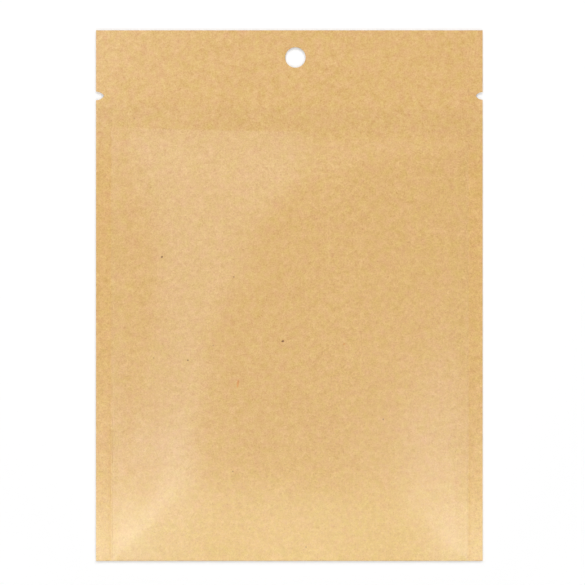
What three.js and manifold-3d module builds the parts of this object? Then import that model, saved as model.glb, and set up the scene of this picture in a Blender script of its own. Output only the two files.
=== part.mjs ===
// A flat pouch of brown paper, made from one web of laminated paper. The web is folded in half, so
// its fold is the bottom edge. A seal closes each side, and a deep flat header closes the top. The
// header has a round hang hole, and a tear notch is cut into each side edge beside it. Air shut
// inside crowns the front panel and lets the back panel sag to a flat.
//
// Frame: the pouch lies on its back. X runs across it, Y runs up to the header and Z comes out of
// the front panel. The origin is under the middle, on the plane that the back panel lies on.
// All sizes are in millimetres.

import * as THREE from "three";
import { mergeVertices } from "three/addons/utils/BufferGeometryUtils.js";
import Module from "manifold-3d";

// The web and the cut outline
const POUCH_WIDTH = 120;
const POUCH_HEIGHT = 164.7;
const PLY = 0.14; // one layer of the laminated paper

// Seals
const LEFT_SEAL = 4.8;
const RIGHT_SEAL = 4.4;
const HEADER_DEPTH = 31.2; // from the top edge to the header's lower line, at the middle
const HEADER_TILT = 1.15; // degrees by which that line falls to the right
const GROOVE_DEPTH = 0.05; // pressed by the edge of the sealing bar, along each side seal
const GROOVE_WIDTH = 1.2;
const GROOVE_RUN_OUT = 6; // the groove fades away over this length under the header

// Hang hole and tear notches
const HOLE_DIAMETER = 6.35;
const HOLE_DROP = 8.4; // from the top edge to the hole's centre
const HOLE_SHIFT = 1.9; // to the right of the middle
const NOTCH_DROP = 20.35; // from the top edge to the points of both notches
const LEFT_NOTCH = { depth: 2.5, height: 2.7 };
const RIGHT_NOTCH = { depth: 2.1, height: 2.4 };

// Front panel
const CROWN = 1.7; // above the seals, where it is fullest
const HEADER_REACH = 50; // the panel comes up over this length below the header
const FOLD_CURL = 3.5; // the last stretch, in which the ply curls down into the bottom fold
const CURL_RISE = 0.25; // how much of the crown that curl takes up
const FOLD_RAMP = 15.5; // straight slope up from the bottom fold
const FOLD_ROUND = 22; // and then the round top of that slope
const HIP_POWER = 4; // a higher power gives sharper hips at the four corners

// Back panel and bottom fold
const BACK_SAG = 0.4; // from the seals down to the flat of the back panel
const BACK_ROLL = 12; // width of the curved border round that flat
const FOLD_GAP = 0.08; // the paper's own spring holds each ply this far off the other at the fold

// Fineness of the surface
const COLUMNS = 30;
const FRONT_ROWS = 40;
const ROLL_ROWS = 6;
const GROOVE_STEPS = 4;
const NOSE_STEPS = 6; // an even number, so that one point is the nose's tip
const HOLE_SEGMENTS = 64;
const NOTCH_SEGMENTS = 16;
const OVERSHOOT = 1; // cutters pass every face by this much

const RIGHT_EDGE = POUCH_WIDTH / 2;
const LEFT_EDGE = -RIGHT_EDGE;
const TOP_EDGE = POUCH_HEIGHT / 2;
const FOLD_EDGE = -TOP_EDGE;
const LEFT_SEAM = LEFT_EDGE + LEFT_SEAL;
const RIGHT_SEAM = RIGHT_EDGE - RIGHT_SEAL;
const MIDPLANE = BACK_SAG + PLY; // where the two plies meet in the seals

const wasm = await Module();
wasm.setup();

const clamp = (value) => THREE.MathUtils.clamp(value, 0, 1);

// 0 at a sealed edge, 1 at the given reach and beyond, with its slope where it leaves the edge
const parabola = (distance, reach) => 1 - (1 - clamp(distance / reach)) ** 2;

// Values from 0 to 1, close together at both ends
const easedSteps = (count) =>
  Array.from({ length: count + 1 }, (_, i) => (1 - Math.cos((Math.PI * i) / count)) / 2);

const evenSteps = (count) => Array.from({ length: count + 1 }, (_, i) => i / count);

const headerLine = (x) =>
  TOP_EDGE - HEADER_DEPTH - x * Math.tan(THREE.MathUtils.degToRad(HEADER_TILT));

// Across the pouch the panel is an arch from seam to seam.
function sideRise(x) {
  const middle = (LEFT_SEAM + RIGHT_SEAM) / 2;
  const halfSpan = (RIGHT_SEAM - LEFT_SEAM) / 2;
  return clamp(1 - ((x - middle) / halfSpan) ** 2);
}

// Up from the fold the panel is a short curl, a straight slope and the round top of that slope.
function foldRise(distance) {
  const curlShare = CURL_RISE / CROWN;
  const slope = 1 / (FOLD_RAMP + FOLD_ROUND / 2);
  const onRamp = Math.min(distance, FOLD_RAMP);
  const onRound = Math.min(Math.max(distance - FOLD_RAMP, 0), FOLD_ROUND);
  const ramp = slope * (onRamp + onRound - onRound ** 2 / (2 * FOLD_ROUND));
  return curlShare * parabola(distance, FOLD_CURL) + (1 - curlShare) * ramp;
}

// Slopes that rise from several edges meet in soft hips, as creased paper does.
function hip(rises) {
  if (Math.min(...rises) <= 0) return 0;
  const sum = rises.reduce((total, rise) => total + rise ** -HIP_POWER, 0);
  return (rises.length / sum) ** (1 / HIP_POWER);
}

// How far each ply stands off the middle beside the fold
const foldGap = (x, y) => FOLD_GAP * sideRise(x) * (1 - clamp((y - FOLD_EDGE) / BACK_ROLL));

function groove(x, y) {
  const nearest = Math.min(Math.abs(x - LEFT_SEAM), Math.abs(x - RIGHT_SEAM));
  const across = clamp(nearest / (GROOVE_WIDTH / 2));
  const along = clamp((headerLine(x) - y) / GROOVE_RUN_OUT);
  return (GROOVE_DEPTH * along * (1 + Math.cos(Math.PI * across))) / 2;
}

function frontHeight(x, y) {
  const belowHeader = parabola(headerLine(x) - y, HEADER_REACH);
  const rise = hip([sideRise(x), belowHeader, foldRise(y - FOLD_EDGE)]);
  return MIDPLANE + PLY + CROWN * rise + foldGap(x, y) * (1 - rise) - groove(x, y);
}

function backHeight(x, y) {
  const inside = Math.min(x - LEFT_SEAM, RIGHT_SEAM - x, headerLine(x) - y, y - FOLD_EDGE);
  const sag = parabola(inside, BACK_ROLL);
  return MIDPLANE - PLY - BACK_SAG * sag - foldGap(x, y) * (1 - sag);
}

// The pouch's outline at one place across its width, as [y, z] points: down the front from the top
// edge, round the nose of the fold, and up the back. It closes along the cut top edge.
function sectionAt(x) {
  const radius = PLY + foldGap(x, FOLD_EDGE);
  const noseCentre = FOLD_EDGE + radius;
  const line = headerLine(x);
  const rollTop = line - BACK_ROLL;
  const rollBottom = noseCentre + BACK_ROLL;
  const between = (from, to, steps) => steps.map((t) => THREE.MathUtils.lerp(from, to, t));

  const frontYs = [TOP_EDGE, ...between(line, noseCentre, easedSteps(FRONT_ROWS))];
  const backYs = [
    ...between(noseCentre, rollBottom, evenSteps(ROLL_ROWS)),
    ...between(rollTop, line, evenSteps(ROLL_ROWS)),
    TOP_EDGE,
  ];
  const nose = evenSteps(NOSE_STEPS)
    .slice(1, -1)
    .map((t) => [noseCentre - radius * Math.sin(Math.PI * t), MIDPLANE + radius * Math.cos(Math.PI * t)]);
  return {
    front: frontYs.map((y) => [y, frontHeight(x, y)]),
    nose,
    back: backYs.map((y) => [y, backHeight(x, y)]),
  };
}

// Places across the width where the section is taken: the cut edges, both grooves and the panel
function stations() {
  const half = GROOVE_WIDTH / 2;
  const acrossGroove = (seam) =>
    evenSteps(GROOVE_STEPS).map((t) => seam + THREE.MathUtils.lerp(-half, half, t));
  const panel = easedSteps(COLUMNS)
    .slice(1, -1)
    .map((t) => THREE.MathUtils.lerp(LEFT_SEAM + half, RIGHT_SEAM - half, t));
  return [LEFT_EDGE, ...acrossGroove(LEFT_SEAM), ...panel, ...acrossGroove(RIGHT_SEAM), RIGHT_EDGE];
}

// Triangles that close a section's end, laid like rungs between its front and back chains. The
// chains start at the top edge and share their last point, at the tip of the nose.
function rungs(front, back, yOf) {
  const triangles = [];
  let i = 0;
  let j = 0;
  while (i < front.length - 1 || j < back.length - 1) {
    const frontNext = i < front.length - 1 ? yOf(front[i + 1]) : -Infinity;
    const backNext = j < back.length - 1 ? yOf(back[j + 1]) : -Infinity;
    const third = frontNext >= backNext ? front[i + 1] : back[j + 1];
    if (third !== front[i] && third !== back[j]) triangles.push([front[i], back[j], third]);
    if (frontNext >= backNext) i += 1;
    else j += 1;
  }
  return triangles;
}

// The closed body skinned over the sections
function loft(xs) {
  const vertices = [];
  const triangles = [];
  const sections = xs.map(sectionAt);
  const rings = sections.map(({ front, nose, back }) => [...front, ...nose, ...back]);
  const size = rings[0].length;
  rings.forEach((ring, column) => ring.forEach(([y, z]) => vertices.push(xs[column], y, z)));

  for (let column = 0; column < xs.length - 1; column += 1) {
    for (let k = 0; k < size; k += 1) {
      const next = (k + 1) % size;
      const a = column * size + k;
      const b = column * size + next;
      const c = a + size;
      const d = b + size;
      triangles.push([a, b, c], [b, d, c]);
    }
  }

  const noseTip = sections[0].front.length + NOSE_STEPS / 2 - 1;
  const yOf = (index) => vertices[3 * index + 1];
  for (const column of [0, xs.length - 1]) {
    const at = (k) => column * size + k;
    const front = Array.from({ length: noseTip + 1 }, (_, k) => at(k));
    const back = Array.from({ length: size - noseTip }, (_, k) => at(size - 1 - k));
    const end = rungs(front, back, yOf);
    triangles.push(...(column === 0 ? end : end.map(([a, b, c]) => [a, c, b])));
  }
  return solid(vertices, triangles.flat());
}

function solid(vertices, triangles) {
  const mesh = new wasm.Mesh({
    numProp: 3,
    vertProperties: new Float32Array(vertices),
    triVerts: new Uint32Array(triangles),
  });
  return new wasm.Manifold(mesh);
}

function solidOf(geometry) {
  geometry.deleteAttribute("normal");
  geometry.deleteAttribute("uv");
  const merged = mergeVertices(geometry);
  return solid(merged.attributes.position.array, merged.index.array);
}

const cutterHeight = MIDPLANE + PLY + 2 * OVERSHOOT;

function hangHole() {
  const radius = HOLE_DIAMETER / 2;
  const punch = new THREE.CylinderGeometry(radius, radius, cutterHeight, HOLE_SEGMENTS);
  punch.rotateX(Math.PI / 2);
  punch.translate(HOLE_SHIFT, TOP_EDGE - HOLE_DROP, cutterHeight / 2 - OVERSHOOT);
  return solidOf(punch);
}

// Half of an almond. Two arcs leave the cut edge square to it and meet in the notch's point.
function tearNotch({ depth, height }, edge, inward) {
  const half = height / 2;
  const radius = (depth ** 2 + half ** 2) / height;
  const sweep = Math.asin(depth / radius);
  const outline = new THREE.Shape();
  outline.moveTo(-OVERSHOOT, -half);
  outline.lineTo(0, -half);
  outline.absarc(0, radius - half, radius, -Math.PI / 2, -Math.PI / 2 + sweep, false);
  outline.absarc(0, half - radius, radius, Math.PI / 2 - sweep, Math.PI / 2, false);
  outline.lineTo(-OVERSHOOT, half);
  const options = { depth: cutterHeight, bevelEnabled: false, curveSegments: NOTCH_SEGMENTS };
  const punch = new THREE.ExtrudeGeometry(outline, options);
  if (inward < 0) punch.rotateZ(Math.PI);
  punch.translate(edge, TOP_EDGE - NOTCH_DROP, -OVERSHOOT);
  return solidOf(punch);
}

function pouchGeometry() {
  const punched = loft(stations())
    .subtract(hangHole())
    .subtract(tearNotch(LEFT_NOTCH, LEFT_EDGE, 1))
    .subtract(tearNotch(RIGHT_NOTCH, RIGHT_EDGE, -1));
  const { vertProperties, triVerts } = punched.getMesh();
  const geometry = new THREE.BufferGeometry();
  geometry.setAttribute("position", new THREE.BufferAttribute(vertProperties, 3));
  geometry.setIndex(new THREE.BufferAttribute(triVerts, 1));
  geometry.computeVertexNormals();
  return geometry;
}

const brownPaper = new THREE.MeshStandardMaterial({ color: 0xe1b97f, roughness: 0.7, metalness: 0 });

const pouch = new THREE.Mesh(pouchGeometry(), brownPaper);
pouch.name = "paper_pouch";

const part = new THREE.Group();
part.add(pouch);

export default part;
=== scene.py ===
# A flat pouch of brown paper that lies on its back on a pale floor, seen from straight above.
#
# The web is folded in half at the bottom edge, sealed along both sides and across a deep header,
# and punched with a hang hole and two tear notches. X runs across the pouch, Y up to the header
# and Z out of the front panel. The shape is worked out in millimetres and then made metres.

import math

import bpy
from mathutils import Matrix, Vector


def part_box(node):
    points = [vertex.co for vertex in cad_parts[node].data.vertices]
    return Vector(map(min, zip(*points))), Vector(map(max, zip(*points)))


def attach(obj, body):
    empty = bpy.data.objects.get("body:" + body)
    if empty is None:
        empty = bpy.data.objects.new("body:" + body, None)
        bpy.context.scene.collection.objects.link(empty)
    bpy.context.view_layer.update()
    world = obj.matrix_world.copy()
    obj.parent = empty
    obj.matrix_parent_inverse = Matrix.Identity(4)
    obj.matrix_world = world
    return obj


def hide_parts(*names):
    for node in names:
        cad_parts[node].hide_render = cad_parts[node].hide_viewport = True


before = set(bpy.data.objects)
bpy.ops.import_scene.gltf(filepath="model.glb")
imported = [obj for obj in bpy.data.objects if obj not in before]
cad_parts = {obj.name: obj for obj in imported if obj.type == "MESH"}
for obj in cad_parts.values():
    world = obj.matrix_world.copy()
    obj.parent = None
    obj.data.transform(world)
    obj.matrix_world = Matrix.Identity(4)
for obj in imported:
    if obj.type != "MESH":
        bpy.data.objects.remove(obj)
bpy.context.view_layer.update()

MM = 0.001
NODE = "paper_pouch"
low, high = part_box(NODE)

# Sizes of the pouch in millimetres. The width and the height come from the frame. The puffs and
# the cheek are shares of the crown's rise.
SIZES = {
    "Width": (high.x - low.x) / MM,
    "Height": (high.y - low.y) / MM,
    "Ply": 0.14,
    "Left seal": 4.8,
    "Right seal": 4.4,
    "Header depth": 31.2,
    "Header tilt": math.radians(1.15),
    "Groove depth": 0.022,
    "Groove width": 1.2,
    "Groove run-out": 6.0,
    "Hole diameter": 6.35,
    "Hole drop": 8.4,
    "Hole shift": 1.9,
    "Notch drop": 20.35,
    "Left notch depth": 2.5,
    "Left notch height": 2.7,
    "Right notch depth": 2.1,
    "Right notch height": 2.4,
    "Crown": 1.7,
    "Left puff": 0.1,
    "Left puff reach": 5.0,
    "Right puff": 0.2,
    "Right puff reach": 50.0,
    "Right cheek": 0.2,
    "Header reach left": 36.0,
    "Header reach right": 16.0,
    "Fold ramp": 24.0,
    "Fold round": 12.0,
    "Back sag": 0.4,
    "Back roll": 12.0,
    "Fold gap": 0.08,
}
LEFT_SEAM = SIZES["Left seal"] - SIZES["Width"] / 2.0
RIGHT_SEAM = SIZES["Width"] / 2.0 - SIZES["Right seal"]
MIDPLANE = SIZES["Back sag"] + SIZES["Ply"]  # where the two plies meet, above the floor

# Soft creases of the front panel, as places across the pouch at five heights up it, in millimetres
HEIGHTS = (-75.0, -45.0, -15.0, 15.0, 45.0)
LEFT_CREST = (-26.0, -25.0, -21.0, -13.0, -6.0)  # where the left slope reaches the top
LEFT_FOOT = (-55.0, -50.0, -44.0, -45.0, -53.0)  # where that slope starts
RIGHT_CREST = (30.0, 32.0, 42.0, 50.0, 52.0)
# Across the pouch at the header line, where the rise from the header shortens, and how that leans
REACH_TURN = (-18.0, 34.0)
REACH_TURN_LEAN = 0.35
LEFT_EASE = 0.25  # share of the left slope that is round at each end
HEADER_EASE = 0.2  # the same for the slope below the header
HIP_POWER = 5  # a higher power gives sharper hips at the four corners
LEAST_RISE = 0.001  # keeps a hip's power from dividing by nothing

# The mesh
COUNTS = {"Columns": 190, "Rows": 246}
NOSE_ROWS = 4  # round each half of the bottom fold
HEADER_ROWS = 46
SEAL_SHARE = 0.035  # of the columns, on each side seal outside its groove
GROOVE_SHARE = 0.05  # of the columns, across each groove
PUNCH_LENGTH = 6.0
HOLE_SEGMENTS = 96
NOTCH_SEGMENTS = 160  # round each of the two punches that leave a notch
WELD = 0.001  # slivers that the punches leave, thinner than this, are closed
SHARP = math.radians(35)  # the shading breaks along edges that turn more than this
UPRIGHT = 0.2  # a face is a cut edge where its normal's Z is under this
FOLD_NOSE = 1.0  # the nose of the fold, up from the bottom edge, has no cut edge


# Sums of nodes

class Value:
    """A number that nodes work out at every point. It takes part in sums as a number does."""

    def __init__(self, tree, socket):
        self.tree = tree
        self.socket = socket

    def __add__(self, other):
        return sum_node(self.tree, "ADD", self, other)

    def __sub__(self, other):
        return sum_node(self.tree, "SUBTRACT", self, other)

    def __mul__(self, other):
        return sum_node(self.tree, "MULTIPLY", self, other)

    def __truediv__(self, other):
        return sum_node(self.tree, "DIVIDE", self, other)

    def __pow__(self, other):
        return sum_node(self.tree, "POWER", self, other)

    def __radd__(self, other):
        return sum_node(self.tree, "ADD", other, self)

    def __rsub__(self, other):
        return sum_node(self.tree, "SUBTRACT", other, self)

    def __rmul__(self, other):
        return sum_node(self.tree, "MULTIPLY", other, self)

    def __rtruediv__(self, other):
        return sum_node(self.tree, "DIVIDE", other, self)

    def __neg__(self):
        return 0.0 - self


def plug(tree, socket, value):
    """Links a value or a socket to a socket, or sets a plain number, colour or vector there"""
    if isinstance(value, Value):
        tree.links.new(value.socket, socket)
    elif isinstance(value, bpy.types.NodeSocket):
        tree.links.new(value, socket)
    else:
        socket.default_value = value


def add_node(tree, kind, settings=None, inputs=None):
    node = tree.nodes.new(kind)
    for name, setting in (settings or {}).items():
        setattr(node, name, setting)
    for name, value in (inputs or {}).items():
        plug(tree, node.inputs[name], value)
    return node


def worked(tree, kind, body, settings=None, inputs=None):
    """Passes a shape through one more node"""
    return add_node(tree, kind, settings, {"Geometry": body, **(inputs or {})}).outputs[0]


def sum_node(tree, operation, *values, clamp=False):
    node = add_node(tree, "ShaderNodeMath", {"operation": operation, "use_clamp": clamp})
    for socket, value in zip(node.inputs, values):
        plug(tree, socket, value)
    return Value(tree, node.outputs[0])


def parts_of(tree, vector):
    """The X, Y and Z of a vector, each as a value"""
    node = add_node(tree, "ShaderNodeSeparateXYZ", None, {"Vector": vector})
    return [Value(tree, node.outputs[name]) for name in "XYZ"]


def vector_of(tree, x, y, z):
    return add_node(tree, "ShaderNodeCombineXYZ", None, {"X": x, "Y": y, "Z": z}).outputs[0]


def clamped(value):
    return sum_node(value.tree, "ADD", value, 0.0, clamp=True)


def squared(value):
    return value * value


def least(first, *others):
    for other in others:
        first = sum_node(first.tree, "MINIMUM", first, other)
    return first


def most(first, *others):
    for other in others:
        first = sum_node(first.tree, "MAXIMUM", first, other)
    return first


def size_of(value):
    return sum_node(value.tree, "ABSOLUTE", value)


def cosine(value):
    return sum_node(value.tree, "COSINE", value)


def sine(value):
    return sum_node(value.tree, "SINE", value)


def is_over(value, limit):
    return sum_node(value.tree, "GREATER_THAN", value, limit)


def is_under(value, limit):
    return sum_node(value.tree, "LESS_THAN", value, limit)


def smooth_step(value, start, end):
    """0 before start, 1 past end, and a smooth rise between them"""
    share = clamped((value - start) / (end - start))
    return squared(share) * (3.0 - 2.0 * share)


def smooth_fall(value, start, end):
    """1 before start, 0 past end, and a smooth fall between them"""
    return 1.0 - smooth_step(value, start, end)


def winding(y, places):
    """A curve up the pouch through a place across it at each of the five heights, level there"""
    place = places[0]
    for lower, upper, here, there in zip(HEIGHTS, HEIGHTS[1:], places, places[1:]):
        place = place + smooth_step(y, lower, upper) * (there - here)
    return place


def stepped(share, stops):
    """Walks through stops of (share, place), straight from each to the next"""
    place = stops[0][1]
    for (start, here), (end, there) in zip(stops, stops[1:]):
        place = place + clamped((share - start) / (end - start)) * (there - here)
    return place


def eased(share, soft):
    """0 to 1, straight in the middle and round over the soft share at both ends"""

    def swell(part):
        return squared(clamped(part / soft)) * soft / 2.0 + most(part - soft, 0.0)

    return (swell(share) - swell(share - (1.0 - soft))) / (1.0 - soft)


def parabola(distance, reach):
    """0 at a sealed edge and 1 from the reach on, steepest where it leaves the edge"""
    return 1.0 - squared(1.0 - clamped(distance / reach))


# The pouch

class Pouch:
    """The rules of the pouch's shape, as sums of nodes in one tree"""

    def __init__(self, tree, size):
        self.tree = tree
        self.size = size
        self.right_edge = size["Width"] / 2.0
        self.left_edge = -self.right_edge
        self.top_edge = size["Height"] / 2.0
        self.fold_edge = -self.top_edge
        self.left_seam = self.left_edge + size["Left seal"]
        self.right_seam = self.right_edge - size["Right seal"]
        self.midplane = size["Back sag"] + size["Ply"]

    def header_line(self, x):
        fall = x * sum_node(self.tree, "TANGENT", self.size["Header tilt"])
        return self.top_edge - self.size["Header depth"] - fall

    def arch(self, x):
        """A plain arch from seam to seam"""
        middle = (self.left_seam + self.right_seam) / 2.0
        half_span = (self.right_seam - self.left_seam) / 2.0
        return clamped(1.0 - squared((x - middle) / half_span))

    def left_rise(self, x, y):
        """Up from the left seam in a small puff and then a long slope"""
        puff = self.size["Left puff"]
        foot = winding(y, LEFT_FOOT)
        crest = winding(y, LEFT_CREST)
        near = puff * parabola(x - self.left_seam, self.size["Left puff reach"])
        return near + (1.0 - puff) * eased((x - foot) / (crest - foot), LEFT_EASE)

    def right_rise(self, x, y):
        """Up from the right seam in two round slopes and one straight one to the middle"""
        puff = self.size["Right puff"]
        cheek = self.size["Right cheek"]
        inward = self.right_seam - x
        crest = winding(y, RIGHT_CREST)
        near = puff * parabola(inward, self.size["Right puff reach"])
        near = near + cheek * parabola(inward, self.right_seam - crest)
        return near + (1.0 - puff - cheek) * clamped(inward / self.right_seam)

    def header_rise(self, x, y):
        below = self.header_line(x) - y
        shorter = smooth_step(x + REACH_TURN_LEAN * below, *REACH_TURN)
        left = self.size["Header reach left"]
        reach = left + shorter * (self.size["Header reach right"] - left)
        return eased(below / reach, HEADER_EASE)

    def fold_rise(self, distance):
        """A straight slope up from the fold and its round top"""
        ramp = self.size["Fold ramp"]
        top = self.size["Fold round"]
        on_ramp = least(distance, ramp)
        on_round = least(most(distance - ramp, 0.0), top)
        slope = 1.0 / (ramp + top / 2.0)
        return slope * (on_ramp + on_round - squared(on_round) / (2.0 * top))

    def hip(self, rises):
        """Slopes that rise from several edges meet in soft hips, as creased paper does"""
        total = sum((most(rise, LEAST_RISE) ** -HIP_POWER for rise in rises), 0.0)
        return (len(rises) / total) ** (1 / HIP_POWER)

    def fold_gap(self, x, y):
        """How far each ply stands off the middle beside the fold"""
        away = clamped((y - self.fold_edge) / self.size["Back roll"])
        return self.size["Fold gap"] * self.arch(x) * (1.0 - away)

    def groove(self, x, y):
        """Pressed along each side seal by the edge of the sealing bar"""
        nearest = least(size_of(x - self.left_seam), size_of(x - self.right_seam))
        across = clamped(nearest / (self.size["Groove width"] / 2.0))
        along = clamped((self.header_line(x) - y) / self.size["Groove run-out"])
        return self.size["Groove depth"] * along * (1.0 + cosine(math.pi * across)) / 2.0

    def front_height(self, x, y, nose_centre):
        sides = self.left_rise(x, y) * self.right_rise(x, y)
        rise = self.hip([sides, self.header_rise(x, y), self.fold_rise(y - nose_centre)])
        ply_top = self.midplane + self.size["Ply"]
        crowned = ply_top + self.size["Crown"] * rise
        return crowned + self.fold_gap(x, y) * (1.0 - rise) - self.groove(x, y)

    def back_height(self, x, y):
        inside = least(
            x - self.left_seam,
            self.right_seam - x,
            self.header_line(x) - y,
            y - self.fold_edge,
        )
        sag = parabola(inside, self.size["Back roll"])
        ply_bottom = self.midplane - self.size["Ply"]
        return ply_bottom - self.size["Back sag"] * sag - self.fold_gap(x, y) * (1.0 - sag)


def column_place(pouch, share):
    """Where a column is across the pouch: closer together across the two grooves"""
    half_groove = pouch.size["Groove width"] / 2.0
    inner = SEAL_SHARE + GROOVE_SHARE
    return stepped(share, [
        (0.0, pouch.left_edge),
        (SEAL_SHARE, pouch.left_seam - half_groove),
        (inner, pouch.left_seam + half_groove),
        (1.0 - inner, pouch.right_seam - half_groove),
        (1.0 - SEAL_SHARE, pouch.right_seam + half_groove),
        (1.0, pouch.right_edge),
    ])


def shaped_box(pouch, counts):
    """A box of fine squares whose top, bottom and rim are laid onto the front, back and edges"""
    tree = pouch.tree
    # It is 1 wide, 1 tall and 2 deep about its middle: the front is at Z 1, the back at -1 and the
    # middle of the rim at 0.
    box = add_node(tree, "GeometryNodeMeshCube", None, {
        "Size": (1.0, 1.0, 2.0),
        "Vertices X": counts["Columns"],
        "Vertices Y": counts["Rows"],
        "Vertices Z": 3,
    })
    where = add_node(tree, "GeometryNodeInputPosition")
    across, up, side = parts_of(tree, where.outputs[0])
    rows = counts["Rows"] - 1.0
    row = (up + 0.5) * rows
    on_rim = 1.0 - size_of(side)

    x = column_place(pouch, across + 0.5)
    nose_radius = pouch.size["Ply"] + pouch.fold_gap(x, pouch.fold_edge)
    nose_centre = pouch.fold_edge + nose_radius
    y_panel = stepped(row, [
        (NOSE_ROWS, nose_centre),
        (rows - HEADER_ROWS, pouch.header_line(x)),
        (rows, pouch.top_edge),
    ])
    # The tip of the nose is the middle of the rim, so the first row is one step round from it.
    turn = clamped((row + 1.0) / (NOSE_ROWS + 1)) * size_of(side) * (math.pi / 2)
    at_fold = clamped(1.0 - row)
    y = y_panel - nose_radius * (on_rim * at_fold + (1.0 - on_rim) * cosine(turn))

    on_nose = clamped(NOSE_ROWS - row)
    round_front = pouch.midplane + nose_radius * sine(turn)
    round_back = pouch.midplane - nose_radius * sine(turn)
    front = pouch.front_height(x, y, nose_centre)
    back = pouch.back_height(x, y)
    front = front + on_nose * (round_front - front)
    back = back + on_nose * (round_back - back)
    z = most(side, 0.0) * front + most(-side, 0.0) * back + on_rim * pouch.midplane
    return worked(tree, "GeometryNodeSetPosition", box.outputs["Mesh"], None, {
        "Position": vector_of(tree, x, y, z),
    })


def punch(pouch, radius, x, y, segments):
    """A round punch through the whole pouch"""
    tree = pouch.tree
    rod = add_node(tree, "GeometryNodeMeshCylinder", None, {
        "Vertices": segments,
        "Radius": radius,
        "Depth": PUNCH_LENGTH,
    })
    return worked(tree, "GeometryNodeTransform", rod.outputs["Mesh"], None, {
        "Translation": vector_of(tree, x, y, pouch.midplane),
    })


def boolean(tree, operation, body, cutters):
    """What is left of the body, or what it shares with the cutters"""
    node = add_node(tree, "GeometryNodeMeshBoolean", {"operation": operation, "solver": "MANIFOLD"})
    first = "Mesh 1" if operation == "DIFFERENCE" else "Mesh 2"
    tree.links.new(body, node.inputs[first])
    for cutter in cutters:
        tree.links.new(cutter, node.inputs["Mesh 2"])
    return node.outputs["Mesh"]


def almond(pouch, side, x):
    """Where two round punches overlap: a notch that starts square and ends in a point"""
    half = pouch.size[f"{side} notch height"] / 2.0
    depth = pouch.size[f"{side} notch depth"]
    radius = (squared(depth) + squared(half)) / (2.0 * half)
    y = pouch.top_edge - pouch.size["Notch drop"]
    offset = radius - half
    upper = punch(pouch, radius, x, y + offset, NOTCH_SEGMENTS)
    lower = punch(pouch, radius, x, y - offset, NOTCH_SEGMENTS)
    return boolean(pouch.tree, "INTERSECT", upper, [lower])


def on_cut_edge(pouch):
    """Picks the upright faces, apart from the nose of the fold"""
    tree = pouch.tree
    normal = add_node(tree, "GeometryNodeInputNormal")
    steepness = size_of(parts_of(tree, normal.outputs["Normal"])[2])
    where = add_node(tree, "GeometryNodeInputPosition")
    above_nose = parts_of(tree, where.outputs[0])[1] - (pouch.fold_edge + FOLD_NOSE) * MM
    return is_under(steepness, UPRIGHT) * is_over(above_nose, 0.0)


def pouch_tree():
    tree = bpy.data.node_groups.new("Paper pouch", "GeometryNodeTree")
    face = tree.interface
    for name, number in SIZES.items():
        socket = face.new_socket(name, in_out="INPUT", socket_type="NodeSocketFloat")
        socket.default_value = number
    for name, number in COUNTS.items():
        socket = face.new_socket(name, in_out="INPUT", socket_type="NodeSocketInt")
        socket.default_value = number
    for name in ("Paper", "Cut edge"):
        face.new_socket(name, in_out="INPUT", socket_type="NodeSocketMaterial")
    face.new_socket("Mesh", in_out="OUTPUT", socket_type="NodeSocketGeometry")

    given = tree.nodes.new("NodeGroupInput")
    size = {name: Value(tree, given.outputs[name]) for name in SIZES}
    counts = {name: Value(tree, given.outputs[name]) for name in COUNTS}
    pouch = Pouch(tree, size)
    body = shaped_box(pouch, counts)
    hole_y = pouch.top_edge - size["Hole drop"]
    body = boolean(tree, "DIFFERENCE", body, [
        punch(pouch, size["Hole diameter"] / 2.0, size["Hole shift"], hole_y, HOLE_SEGMENTS),
        almond(pouch, "Left", pouch.left_edge),
        almond(pouch, "Right", pouch.right_edge),
    ])

    angle = add_node(tree, "GeometryNodeInputMeshEdgeAngle")
    body = worked(tree, "GeometryNodeMergeByDistance", body, None, {"Distance": WELD})
    body = worked(tree, "GeometryNodeSetShadeSmooth", body)
    body = worked(tree, "GeometryNodeSetShadeSmooth", body, {"domain": "EDGE"}, {
        "Selection": is_over(Value(tree, angle.outputs["Unsigned Angle"]), SHARP),
        "Shade Smooth": False,
    })
    body = worked(tree, "GeometryNodeTransform", body, None, {"Scale": (MM, MM, MM)})
    body = worked(tree, "GeometryNodeRealizeInstances", body)
    body = worked(tree, "GeometryNodeSetMaterial", body, None, {"Material": given.outputs["Paper"]})
    body = worked(tree, "GeometryNodeSetMaterial", body, None, {
        "Selection": on_cut_edge(pouch),
        "Material": given.outputs["Cut edge"],
    })
    out = tree.nodes.new("NodeGroupOutput")
    tree.links.new(body, out.inputs["Mesh"])
    return tree


def add_object(name, data):
    """Puts a mesh, a lamp or a camera in the scene"""
    thing = bpy.data.objects.new(name, data)
    bpy.context.scene.collection.objects.link(thing)
    return thing


def make_pouch(paper, cut_edge):
    """The pouch as one plain mesh, from its tree"""
    tree = pouch_tree()
    shell = add_object("shell", bpy.data.meshes.new("shell"))
    modifier = shell.modifiers.new("Pouch", "NODES")
    modifier.node_group = tree
    inputs = [item for item in tree.interface.items_tree if item.in_out == "INPUT"]
    given = {**SIZES, **COUNTS, "Paper": paper, "Cut edge": cut_edge}
    for item in inputs:
        modifier[item.identifier] = given[item.name]
    graph = bpy.context.evaluated_depsgraph_get()
    mesh = bpy.data.meshes.new_from_object(shell.evaluated_get(graph), depsgraph=graph)
    bpy.data.objects.remove(shell)
    return add_object("brown_paper_pouch", mesh)


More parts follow.
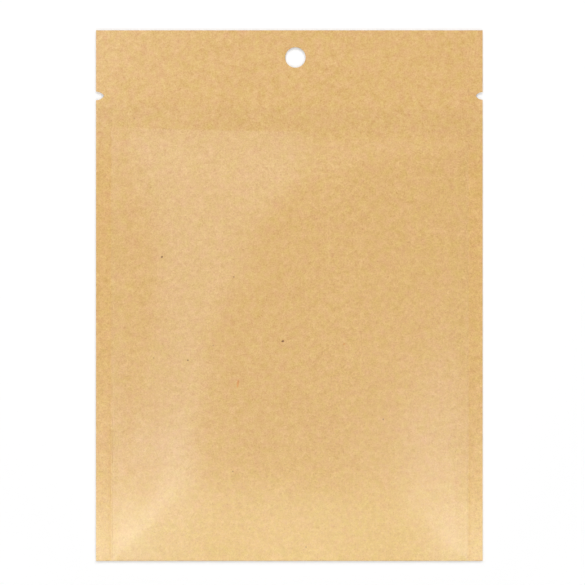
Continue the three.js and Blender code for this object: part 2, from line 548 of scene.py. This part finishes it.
# The paper's grain. A cloud of noise has patches of a width in millimetres, a detail and a
# roughness, and a layer is a cloud and how strong it is.
GRAIN_LAYERS = (
    (11.0, 2.0, 0.6, 0.05),
    (1.5, 4.0, 0.7, 0.5),
    (0.4, 2.0, 0.7, 0.72),
)
RELIEF_LAYERS = (
    (0.7, 3.0, 0.6, 1.0),
    (3.0, 1.0, 0.6, 2.0),
)
GRAIN_HEIGHT = 0.02
SHEEN_ROUGHNESS = 0.27
SHEEN_LAYERS = ((1.2, 2.0, 0.6, 0.1),)
TINT_CLOUD = (2.6, 2.0, 0.5)
TINT_TURN = 20.0
TINT_SHIFT = (40.0, 10.0, 0.0)

# Fibres lie in four directions, in degrees, each with its own place in the noise. The noise is
# drawn out along a fibre and squeezed across it, and a fibre is where it's strongest.
FIBRE_WAYS = ((12, 3.0), (63, 17.0), (118, 29.0), (158, 41.0))
FIBRE_STRETCH = (0.55, 5.5, 1.0)
FIBRE_CLOUD = (1.0, 1.0, 0.5)
FIBRE_EDGE = (0.18, 0.24)
PALE_FIBRE = 0.09
PALE_SHIFT = (0.0, 5.0)
DARK_FIBRE = 0.13
DARK_SHIFT = (50.0, 9.0)
DARK_TURN = 27  # from a pale fibre to the dark ones beside it, in degrees

# Specks: width of a cell and largest radius in millimetres, share of the cells that hold one,
# shift of the pattern, and how dark each is
SPECKS = (
    (1.6, 0.26, 0.35, (0.0, 0.0, 0.0), 0.2),
    (9.0, 0.3, 0.3, (4.0, 7.0, 0.0), 0.4),
)
SPECK_STRETCH = (1.0, 1.0, 0.3)
SPECK_RIM = (0.5, 1.0)  # share of the radius over which a speck fades

# The largest splinters on the front: place, length, width, turn from +X, and how dark each is
SPLINTERS = (
    (-39.5, 12.0, 0.75, 0.6, 60, 0.95),
    (-31.4, -20.0, 0.6, 0.5, 80, 0.85),
    (-2.0, -14.1, 0.95, 0.6, 10, 0.95),
    (29.1, -38.3, 0.65, 0.5, 120, 0.75),
    (-17.5, -54.4, 0.55, 0.45, 45, 0.6),
    (5.2, -78.0, 0.6, 0.45, 150, 0.65),
    (-17.2, 5.8, 0.6, 0.5, 100, 0.5),
    (-23.5, -15.4, 0.7, 0.45, 20, 0.35),
    (-42.1, -19.3, 0.7, 0.4, 100, 0.4),
    (-48.1, 55.0, 0.7, 0.4, 150, 0.35),
)
ORANGE_SPLINTERS = (
    (-15.9, -27.2, 2.9, 0.75, 82, 0.24),
    (17.0, -15.0, 0.9, 0.45, 20, 0.3),
)
SPLINTER_RIM = (0.3, 1.3)  # share of the squared radius over which a splinter fades

# Painted sheen: paler where the slopes of the front would catch the lamps' highlights, along a long
# strip down the left slope, a patch at the lower right, both bottom corners and a ridge beside each
# side seal. The first three are places at the five heights, and a pair is where a change starts and
# ends, in millimetres.
STRIP_LEFT = (-54.0, -49.0, -43.0, -43.5, -52.0)
STRIP_RIGHT = (-27.0, -26.5, -23.5, -11.0, 7.0)
PATCH_LEFT = (34.0, 31.0, 40.0, 52.0, 54.0)
RAGGED_LAYERS = ((9.0, 3.0, 0.6, 6.0),)
STRIP_STARTS = (-4.0, 10.0)
STRIP_ENDS = (-9.0, 6.0)
STRIP_CORNER = (-51.2, -49.8)  # the crisp upper left corner, across the pouch
STRIP_CORNER_DROP = (4.0, 11.0)  # and below the header line
STRIP_TOP = (-0.2, 0.6)
PATCH_STARTS = (-4.0, 8.0)
PATCH_ENDS = (51.0, 55.0)
PATCH_TOP = (-30.0, 5.0)
CORNERS_ACROSS = (36.0, 52.0)
CORNERS_TOP = (-80.0, -56.0)
RIDGE_IN = 0.55  # from a side seal's inner edge to the ridge beside it
RIDGE_SIDES = (0.15, 0.75)
RIDGE_TOP = (0.0, 20.0)
RIDGE_FADE = 30.0  # a higher number makes the ridges fade more slowly up the pouch
RIDGE_PATCHES = (-1.5, 2.5)
STRIP_PAINTED_SHEEN = 0.04
PATCH_PAINTED_SHEEN = 0.015
CORNER_PAINTED_SHEEN = 0.07
RIDGE_PAINTED_SHEEN = 0.035
PAINTED_SHEEN_COVER = 0.4  # how far the painted sheen hides the tone under it

# Painted light on the header: painted sheen makes it a little paler than the panel, and painted
# shade makes a band just above the header line darker
HEADER_LINE = (-0.4, 0.3)
HEADER_PAINTED_SHEEN = 0.02
SHADED_BAND = (-8.5, -6.0)
BAND_PAINTED_SHADE = 0.03

# The side seals are warmer from below the header on, partly the tone of the sealed paper and partly
# painted shade where they shine less, and painted light from below makes the paper brighter and
# yellower by the fold
SEAL_SOFT = 0.5
SEAL_TOP = (0.0, 12.0)
# Painted light from below by the fold: full below the first height up the pouch and gone past the
# second, in millimetres
FOLD_LIGHT_SPAN = (-80.0, -42.0)

# Red, green and blue of the paper, linear, and how far each is changed by the grain, the tint, the
# two kinds of splinter, a side seal with its painted shade and the painted light by the fold
PAPER = (0.665, 0.414, 0.156)
BY_GRAIN = (0.8, 1.3, 1.8)
BY_TINT = (0.12, -0.06, 0.55)
BY_SPLINTER = (0.8, 0.92, 1.0)
BY_ORANGE = (0.1, 1.0, 1.8)
BY_SEAL_TONE_AND_SHADE = (0.0, -0.015, -0.1)
BY_FOLD_LIGHT = (0.045, 0.08, -0.13)

# The cut edge. The line between the plies is given by its distance from the middle.
CUT_EDGE = (0.6, 0.4, 0.2)  # linear
CUT_LAYERS = ((0.15, 2.0, 0.6, 0.6),)
CUT_ROUGHNESS = 0.7
JOINT_LINE = (0.01, 0.035)
JOINT_SHADE = 0.35

# The floor is white card that looks a little brighter than it is lit, and far out much brighter.
# The room is white to look at and gives little light.
WHITE = (1.0, 1.0, 1.0, 1.0)
CARD = (0.8, 0.8, 0.8, 1.0)
FLOOR_LIFT = 0.18
FAR_LIFT = 0.9
FLOOR_FADE = (0.1, 0.5)  # metres from the middle of the pouch
ROOM_LIGHT = 0.04


# Finishes

def new_material(name):
    material = bpy.data.materials.new(name)
    material.use_nodes = True
    tree = material.node_tree
    tree.nodes.clear()
    return material, tree


def add_surface(tree, channels, inputs):
    """A shader in the given red, green and blue as the material's surface"""
    red, green, blue = channels
    colour = add_node(tree, "ShaderNodeCombineColor", None, {
        "Red": red,
        "Green": green,
        "Blue": blue,
    })
    shader = add_node(tree, "ShaderNodeBsdfPrincipled", None, {
        "Base Color": colour.outputs[0],
        **inputs,
    })
    add_node(tree, "ShaderNodeOutputMaterial", None, {"Surface": shader.outputs[0]})


def place_in_mm(tree, turned=0.0, stretch=(1.0, 1.0, 1.0), shift=(0.0, 0.0, 0.0)):
    """Where a point of the pouch is, in millimetres, turned about Z, stretched and shifted"""
    where = add_node(tree, "ShaderNodeTexCoord")
    turn = add_node(tree, "ShaderNodeMapping", None, {
        "Vector": where.outputs["Object"],
        "Rotation": (0.0, 0.0, math.radians(turned)),
    })
    grow = add_node(tree, "ShaderNodeMapping", None, {
        "Vector": turn.outputs[0],
        "Location": shift,
        "Scale": tuple(part / MM for part in stretch),
    })
    return grow.outputs[0]


def cloud(tree, place, width, detail, roughness):
    """Soft noise about zero, with patches about as wide as the width in millimetres"""
    noise = add_node(tree, "ShaderNodeTexNoise", None, {
        "Vector": place,
        "Scale": 1.0 / width,
        "Detail": detail,
        "Roughness": roughness,
    })
    return Value(tree, noise.outputs["Fac"]) - 0.5


def layered(tree, layers):
    """A sum of clouds, each as strong as its layer says"""
    place = place_in_mm(tree)
    total = 0.0
    for *noise, strength in layers:
        total = total + strength * cloud(tree, place, *noise)
    return total


def fibres(tree, turned, shift):
    """Thin fibres that lie one way: 1 on a fibre, 0 between"""
    along = place_in_mm(tree, turned, FIBRE_STRETCH, shift)
    return smooth_step(cloud(tree, along, *FIBRE_CLOUD), *FIBRE_EDGE)


def specks(tree, cell, largest, share, shift):
    """Round specks scattered at random, from half the largest size up: 1 inside a speck"""
    cells = add_node(tree, "ShaderNodeTexVoronoi", None, {
        "Vector": place_in_mm(tree, 0.0, SPECK_STRETCH, shift),
        "Scale": 1.0 / cell,
    })
    random = add_node(tree, "ShaderNodeSeparateColor", None, {"Color": cells.outputs["Color"]})
    chosen = is_under(Value(tree, random.outputs["Red"]), share)
    radius = largest * (0.5 + Value(tree, random.outputs["Green"]) / 2.0)
    distance = Value(tree, cells.outputs["Distance"]) * cell
    return chosen * smooth_fall(distance / radius, *SPECK_RIM)


def splinters(tree, facts):
    """Splinters of wood in the front ply, each as strong as its facts say"""
    x, y, z = parts_of(tree, place_in_mm(tree))
    total = 0.0
    for middle_x, middle_y, length, width, turned, strength in facts:
        turn = math.radians(turned)
        dx = x - middle_x
        dy = y - middle_y
        along = dx * math.cos(turn) + dy * math.sin(turn)
        across = dy * math.cos(turn) - dx * math.sin(turn)
        far = squared(along / (length / 2.0)) + squared(across / (width / 2.0))
        total = total + strength * smooth_fall(far, *SPLINTER_RIM)
    return is_over(z, MIDPLANE) * total


def grain_tone(tree):
    """How much lighter the paper is than its plain colour: clouds, fibres and specks"""
    grain = layered(tree, GRAIN_LAYERS)
    for turned, shift in FIBRE_WAYS:
        grain = grain + PALE_FIBRE * fibres(tree, turned, (shift, *PALE_SHIFT))
        grain = grain - DARK_FIBRE * fibres(tree, turned + DARK_TURN, (shift, *DARK_SHIFT))
    for *facts, strength in SPECKS:
        grain = grain - strength * specks(tree, *facts)
    return grain


def below_header(x, y):
    """How far a point is below the header line"""
    line = SIZES["Height"] / 2.0 - SIZES["Header depth"] - x * math.tan(SIZES["Header tilt"])
    return line - y


def painted_sheen_on_front(tree, x, y):
    """How much painted sheen pales the front, where its slopes would catch the lamps' highlights"""
    below = below_header(x, y)
    ragged = layered(tree, RAGGED_LAYERS)
    strip = smooth_step(x - (winding(y, STRIP_LEFT) + ragged), *STRIP_STARTS)
    strip = strip * smooth_fall(x - (winding(y, STRIP_RIGHT) + ragged), *STRIP_ENDS)
    outside = smooth_fall(x, *STRIP_CORNER)
    strip = strip * (1.0 - outside * smooth_fall(below, *STRIP_CORNER_DROP))
    strip = strip * smooth_step(below, *STRIP_TOP)
    patch = smooth_step(x - winding(y, PATCH_LEFT) - ragged, *PATCH_STARTS)
    patch = patch * smooth_fall(x, *PATCH_ENDS) * smooth_fall(y, *PATCH_TOP)
    corners = smooth_step(size_of(x), *CORNERS_ACROSS) * smooth_fall(y + ragged, *CORNERS_TOP)
    off_ridge = least(size_of(x - LEFT_SEAM - RIDGE_IN), size_of(x - RIGHT_SEAM + RIDGE_IN))
    ridge = smooth_fall(off_ridge, *RIDGE_SIDES) * smooth_step(below, *RIDGE_TOP)
    ridge = ridge * smooth_step(ragged - y / RIDGE_FADE, *RIDGE_PATCHES)
    # Painted sheen: a pale neutral colour added where the slopes would shine
    sheen_paint = STRIP_PAINTED_SHEEN * strip + PATCH_PAINTED_SHEEN * patch
    return sheen_paint + CORNER_PAINTED_SHEEN * corners + RIDGE_PAINTED_SHEEN * ridge


def painted_light_and_seals(tree):
    """How much painted sheen pales the front, how much painted sheen and shade change the header,
    and, from 0 to 1, how far it is a side seal, partly painted shade, and how far the painted light
    by the fold reaches
    """
    x, y, z = parts_of(tree, place_in_mm(tree))
    below = below_header(x, y)
    front = is_over(z, MIDPLANE)
    # Painted sheen pales the header, and painted shade darkens a band just above its line
    header_painted_light = BAND_PAINTED_SHADE * smooth_step(below, *SHADED_BAND) - HEADER_PAINTED_SHEEN
    header_painted_light = smooth_fall(below, *HEADER_LINE) * header_painted_light
    # The side seals: partly the sealed paper's own tone, partly painted shade for their weaker
    # sheen
    seal_tone_and_shade = smooth_fall(x, LEFT_SEAM - SEAL_SOFT, LEFT_SEAM)
    seal_tone_and_shade = seal_tone_and_shade + smooth_step(x, RIGHT_SEAM, RIGHT_SEAM + SEAL_SOFT)
    seal_tone_and_shade = seal_tone_and_shade * smooth_step(below, *SEAL_TOP)
    return front * painted_sheen_on_front(tree, x, y), front * header_painted_light, seal_tone_and_shade, smooth_fall(y, *FOLD_LIGHT_SPAN)


def paper_tone(tree):
    """Red, green and blue of the paper: dense spots and fibres darken blue more than red"""
    grain = grain_tone(tree)
    tint = cloud(tree, place_in_mm(tree, TINT_TURN, shift=TINT_SHIFT), *TINT_CLOUD)
    dark = splinters(tree, SPLINTERS)
    orange = splinters(tree, ORANGE_SPLINTERS)
    sheen_paint, header_painted_light, seal_tone_and_shade, fold_painted_light = painted_light_and_seals(tree)
    # Painted light in the colour: painted sheen on the front's slopes, painted sheen and shade on
    # the header, partly painted shade on the side seals and painted light from below by the fold
    shade = (1.0 - PAINTED_SHEEN_COVER * sheen_paint) * (1.0 - header_painted_light)
    channels = []
    for i, colour in enumerate(PAPER):
        fibrous = 1.0 + BY_GRAIN[i] * grain + BY_TINT[i] * tint
        seal_tone_and_fold_light = (1.0 + BY_SEAL_TONE_AND_SHADE[i] * seal_tone_and_shade) * (1.0 + BY_FOLD_LIGHT[i] * fold_painted_light)
        tone = colour * shade * fibrous * seal_tone_and_fold_light * (1.0 - BY_ORANGE[i] * orange) + sheen_paint
        channels.append(tone * (1.0 - BY_SPLINTER[i] * dark))
    return channels


def paper_finish():
    """Unbleached paper with a thin smooth face: fibres under a low sheen"""
    material, tree = new_material("Brown paper")
    bump = add_node(tree, "ShaderNodeBump", None, {
        "Strength": 1.0,
        "Distance": GRAIN_HEIGHT * MM,
        "Height": layered(tree, RELIEF_LAYERS),
    })
    add_surface(tree, paper_tone(tree), {
        "Roughness": SHEEN_ROUGHNESS + layered(tree, SHEEN_LAYERS),
        "Normal": bump.outputs[0],
    })
    return material


def cut_edge_finish():
    """Bare fibres of the two plies, with a darker line where they are sealed together"""
    material, tree = new_material("Cut edge of the paper")
    z = parts_of(tree, place_in_mm(tree))[2]
    joint = smooth_fall(size_of(z - MIDPLANE), *JOINT_LINE)
    tone = (1.0 + layered(tree, CUT_LAYERS)) * (1.0 - JOINT_SHADE * joint)
    add_surface(tree, [part * tone for part in CUT_EDGE], {"Roughness": CUT_ROUGHNESS})
    return material


def seen_as_background(tree):
    """1 where the camera, a reflection or clear glass looks at it, 0 where it only gives light"""
    ray = add_node(tree, "ShaderNodeLightPath")
    kinds = ("Is Camera Ray", "Is Glossy Ray", "Is Transmission Ray")
    return most(*(Value(tree, ray.outputs[kind]) for kind in kinds))


def floor_finish():
    """White card that is lifted to plain white but keeps its soft shadows close to the pouch"""
    material, tree = new_material("White floor")
    card = add_node(tree, "ShaderNodeBsdfDiffuse", None, {"Color": CARD})
    where = add_node(tree, "ShaderNodeTexCoord")
    away = add_node(tree, "ShaderNodeVectorMath", {"operation": "LENGTH"}, {
        0: where.outputs["Object"],
    })
    far = smooth_step(Value(tree, away.outputs["Value"]), *FLOOR_FADE)
    lift = seen_as_background(tree) * (FLOOR_LIFT + FAR_LIFT * far)
    glow = add_node(tree, "ShaderNodeEmission", None, {"Color": WHITE, "Strength": lift})
    both = add_node(tree, "ShaderNodeAddShader", None, {0: card.outputs[0], 1: glow.outputs[0]})
    add_node(tree, "ShaderNodeOutputMaterial", None, {"Surface": both.outputs[0]})
    return material


# Camera, floor and light

PICTURE = 585  # pixels along each side of the square picture
PIXEL = 0.3104  # millimetres across one pixel, on the top of the header
MIDDLE_X = 289.3  # where the pouch's middle is in the picture, in pixels
MIDDLE_Y = 295.65
LENS = 100.0
SENSOR = 36.0
FLOOR_HALF = 2.0  # metres from the middle to a side
FLOOR_DROP = 0.00001  # metres below the pouch, so that the two faces don't meet

# Each softbox: azimuth from +X towards +Y and height above the floor in degrees, distance, width
# and height in metres, and how bright it is beside full daylight on white
SOFTBOXES = {
    "high_top": (105, 66, 0.9, 0.15, 0.15, 0.02),
    "high_top_left": (140, 65, 0.9, 0.15, 0.15, 0.095),
    "high_bottom_left": (225, 69, 0.9, 0.15, 0.15, 0.12),
    "high_bottom": (270, 66, 0.9, 0.15, 0.15, 0.075),
    "high_bottom_right": (315, 69, 0.9, 0.15, 0.15, 0.1),
    "broad_top": (90, 42, 1.2, 1.4, 0.6, 0.48),
    "broad_bottom": (270, 38, 1.2, 1.4, 0.6, 0.19),
    "broad_right": (0, 42, 1.2, 1.4, 0.6, 0.08),
}


def make_camera():
    distance = PICTURE * PIXEL * LENS / SENSOR
    header_top = MIDPLANE + SIZES["Ply"]
    data = bpy.data.cameras.new("camera")
    data.lens = LENS
    data.sensor_width = SENSOR
    camera = add_object("camera", data)
    x = (PICTURE / 2 - MIDDLE_X) * PIXEL
    y = (MIDDLE_Y - PICTURE / 2) * PIXEL
    camera.location = (x * MM, y * MM, (distance + header_top) * MM)
    bpy.context.scene.camera = camera


def make_floor():
    mesh = bpy.data.meshes.new("floor")
    ways = ((-1, -1), (1, -1), (1, 1), (-1, 1))
    corners = [(x * FLOOR_HALF, y * FLOOR_HALF, -FLOOR_DROP) for x, y in ways]
    mesh.from_pydata(corners, [], [(0, 1, 2, 3)])
    mesh.materials.append(floor_finish())
    floor = add_object("floor", mesh)


def make_softbox(name, azimuth, height, distance, width, tall, strength):
    azimuth = math.radians(azimuth)
    height = math.radians(height)
    data = bpy.data.lights.new(name, "AREA")
    data.shape = "RECTANGLE"
    data.size = width
    data.size_y = tall
    data.energy = strength * math.pi**2 * distance**2 / math.sin(height)
    lamp = add_object(name, data)
    way = Vector((
        math.cos(height) * math.cos(azimuth),
        math.cos(height) * math.sin(azimuth),
        math.sin(height),
    ))
    lamp.location = way * distance
    lamp.rotation_euler = way.to_track_quat("Z", "Y").to_euler()


def make_world():
    """A dim even room that looks white behind the floor"""
    world = bpy.data.worlds.new("room")
    world.use_nodes = True
    bpy.context.scene.world = world
    tree = world.node_tree
    tree.nodes.clear()
    seen = seen_as_background(tree)
    strength = seen + (1.0 - seen) * ROOM_LIGHT
    sky = add_node(tree, "ShaderNodeBackground", None, {"Color": WHITE, "Strength": strength})
    add_node(tree, "ShaderNodeOutputWorld", None, {"Surface": sky.outputs[0]})


make_camera()
make_floor()
make_world()
for name, facts in SOFTBOXES.items():
    make_softbox(name, *facts)
bpy.context.scene.view_settings.view_transform = "Standard"

pouch = make_pouch(paper_finish(), cut_edge_finish())
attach(pouch, "root")
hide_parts(NODE)
